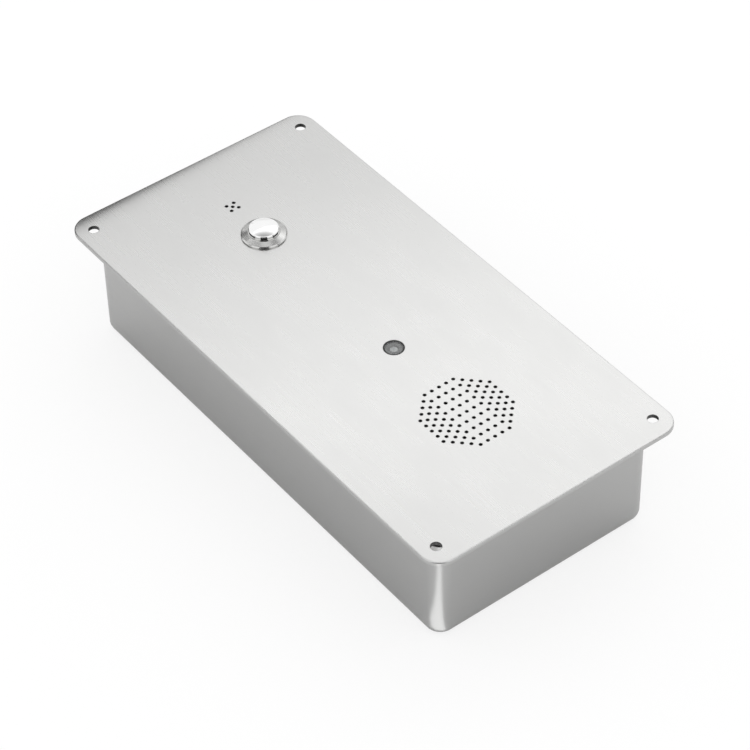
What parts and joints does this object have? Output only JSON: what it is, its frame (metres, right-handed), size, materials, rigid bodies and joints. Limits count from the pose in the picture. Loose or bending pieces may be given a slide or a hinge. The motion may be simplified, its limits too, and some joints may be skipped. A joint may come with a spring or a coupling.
{
  "type": "video door intercom",
  "caption": "Flush-mounted door intercom: flat stainless face plate with push button, camera window, speaker grille and microphone holes on a deep back box.",
  "frame": {"origin": "centre of the back box's rear face, on the surface that the intercom lies on", "axes": "+Z out of the face plate, +Y along the plate to the speaker end (uppermost on a wall), X across the plate"},
  "size_m": [0.14, 0.282, 0.0669],
  "materials": {
    "plate_steel": "satin brushed stainless sheet",
    "box_steel": "satin stainless sheet, corners ground",
    "fixing_steel": "plain stainless fixings",
    "bezel_steel": "stainless, turned in rings",
    "cap_chrome": "polished",
    "spring_steel": "drawn wire",
    "contact_brass": "plated brass",
    "yoke_steel": "zinc plated steel",
    "capsule_can": "drawn can",
    "jack_shield": "tinned shield",
    "foam_rubber": "closed-cell foam",
    "black_rubber": "moulded rubber",
    "black_plastic": "moulded",
    "barrel_black": "black anodised",
    "basket_paint": "black painted pressed steel",
    "cone_paper": "treated paper",
    "spider_cloth": "resin-stiffened cotton",
    "mesh_fabric": "fine woven mesh",
    "coil_copper": "enamelled copper winding",
    "winding_copper": "taped winding",
    "magnet_ferrite": "sintered ferrite",
    "tag_board": "fibre board",
    "window_glass": "clear toughened glass",
    "lens_glass": "coated glass",
    "sensor_glass": "glass-topped chip",
    "board_green": "solder-resist coated laminate",
    "chip_black": "moulded chip case",
    "can_sleeve": "shrink sleeve",
    "block_green": "moulded nylon",
    "header_nylon": "moulded nylon",
    "ribbon_film": "polyester film",
    "red_lead": "insulated wire",
    "black_lead": "insulated wire",
    "grey_lead": "insulated wire"
  },
  "bodies": {
    "housing": {"face_plate": "plate_steel", "plate_studs": "fixing_steel", "stud_nuts": "fixing_steel", "box_gasket": "foam_rubber", "back_box": "box_steel", "box_pillars": "fixing_steel", "box_screws": "fixing_steel", "cable_grommet": "black_rubber", "button_body": "bezel_steel", "button_seal": "black_rubber", "button_washer": "fixing_steel", "button_nut": "fixing_steel", "button_spring": "spring_steel", "contact_block": "black_plastic", "button_terminals": "contact_brass", "button_leads": "red_lead", "speaker_mesh": "mesh_fabric", "speaker_foam": "foam_rubber", "speaker_basket": "basket_paint", "speaker_cone": "cone_paper", "voice_coil": "coil_copper", "speaker_spider": "spider_cloth", "speaker_magnet": "magnet_ferrite", "speaker_yoke": "yoke_steel", "speaker_terminals": "tag_board", "speaker_leads": "black_lead", "window_seal": "black_rubber", "camera_window": "window_glass", "camera_lens": "lens_glass", "lens_barrel": "barrel_black", "lens_holder": "black_plastic", "image_sensor": "sensor_glass", "camera_board": "board_green", "camera_spacers": "fixing_steel", "camera_screws": "fixing_steel", "camera_ribbon": "ribbon_film", "mic_boot": "black_rubber", "mic_capsule": "capsule_can", "mic_clamp": "fixing_steel", "mic_leads": "grey_lead", "main_board": "board_green", "board_standoffs": "fixing_steel", "board_screws": "fixing_steel", "processor": "chip_black", "memory_chips": "chip_black", "capacitors": "can_sleeve", "transformer": "winding_copper", "network_jack": "jack_shield", "terminal_block": "block_green", "lead_headers": "header_nylon"},
    "button": {"button_cap": "cap_chrome", "contact_bridge": "contact_brass"}
  },
  "joints": [
    {"name": "button_press", "type": "slide", "parent": "housing", "child": "button", "axis": [0, 0, -1], "range_m": [0, 0.002], "stiffness_N_per_m": 1500, "springref_m": -0.002, "deforming": ["button_spring"]}
  ]
}
